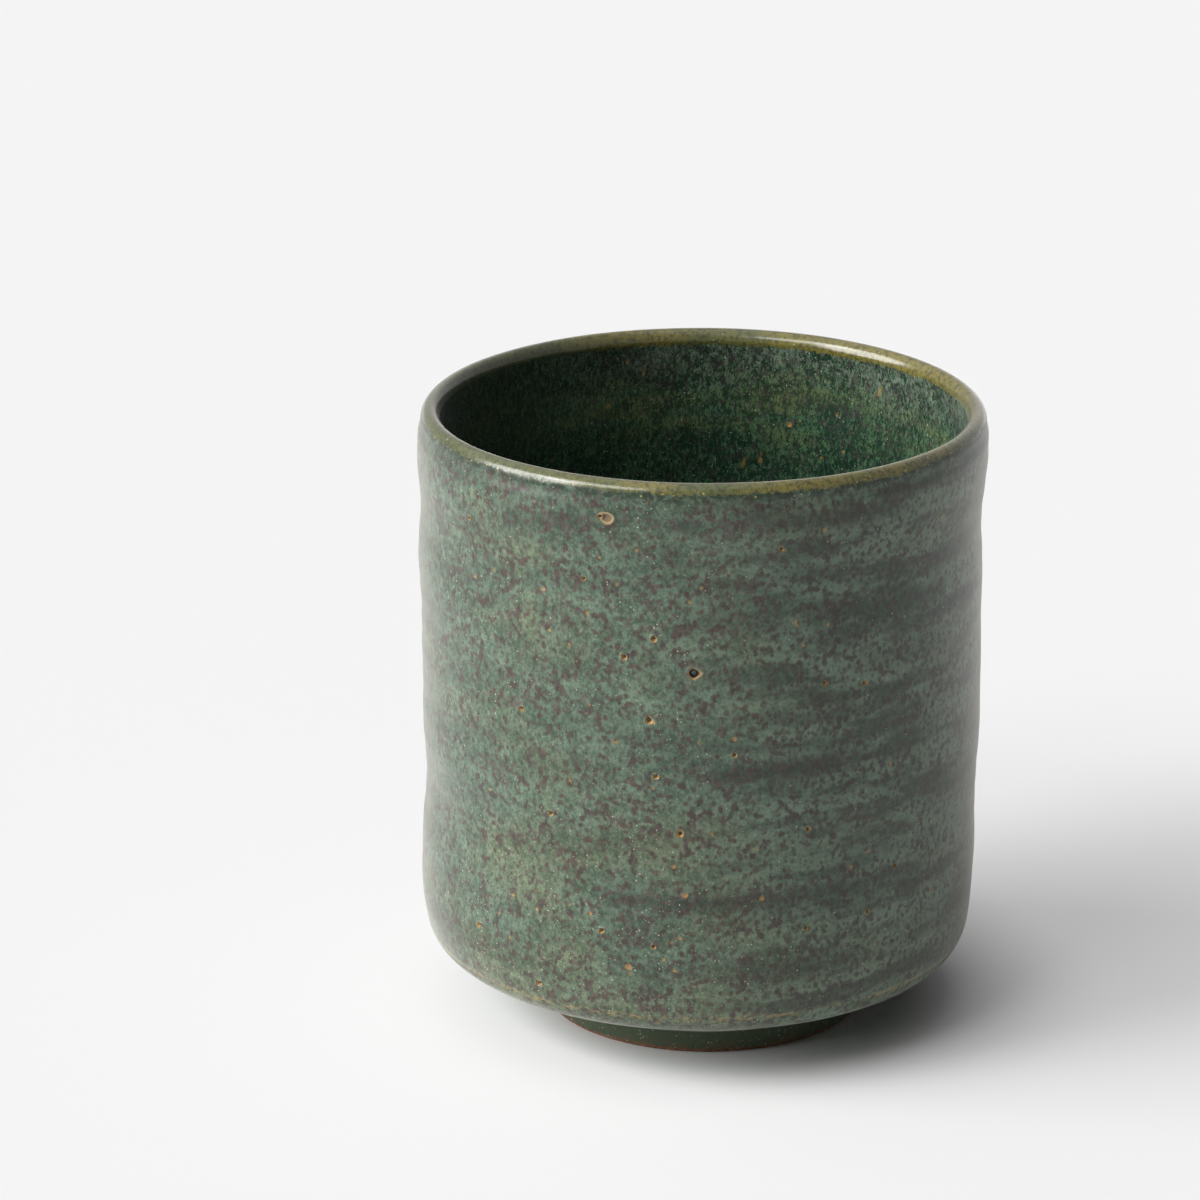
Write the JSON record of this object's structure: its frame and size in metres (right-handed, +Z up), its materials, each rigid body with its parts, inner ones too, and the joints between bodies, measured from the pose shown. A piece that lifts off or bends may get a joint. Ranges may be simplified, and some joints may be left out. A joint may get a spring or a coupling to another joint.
{
  "type": "yunomi tea cup",
  "caption": "Straight-sided thrown stoneware tea cup with soft throwing rings, a turned foot ring and a speckled sea-green glaze, held in the hand to drink hot tea.",
  "frame": {"origin": "centre of the foot ring's standing face, on the table", "axes": "+Z up along the cup's axis of revolution, -Y towards the viewer of the picture, +X to the right"},
  "size_m": [0.081, 0.081, 0.09],
  "materials": {
    "bare_clay": "bare iron-bearing stoneware, matt",
    "outer_glaze": "satin sea green with dark iron blotches, pale specks and pinholes",
    "lip_glaze": "thin glossy olive, breaking to brown",
    "inner_glaze": "glossy deep green with fine runs",
    "recess_glaze": "satin olive green"
  },
  "bodies": {
    "root": {"clay_body": "bare_clay", "outer_glaze": "outer_glaze", "lip_glaze": "lip_glaze", "inner_glaze": "inner_glaze", "recess_glaze": "recess_glaze"}
  },
  "joints": []
}
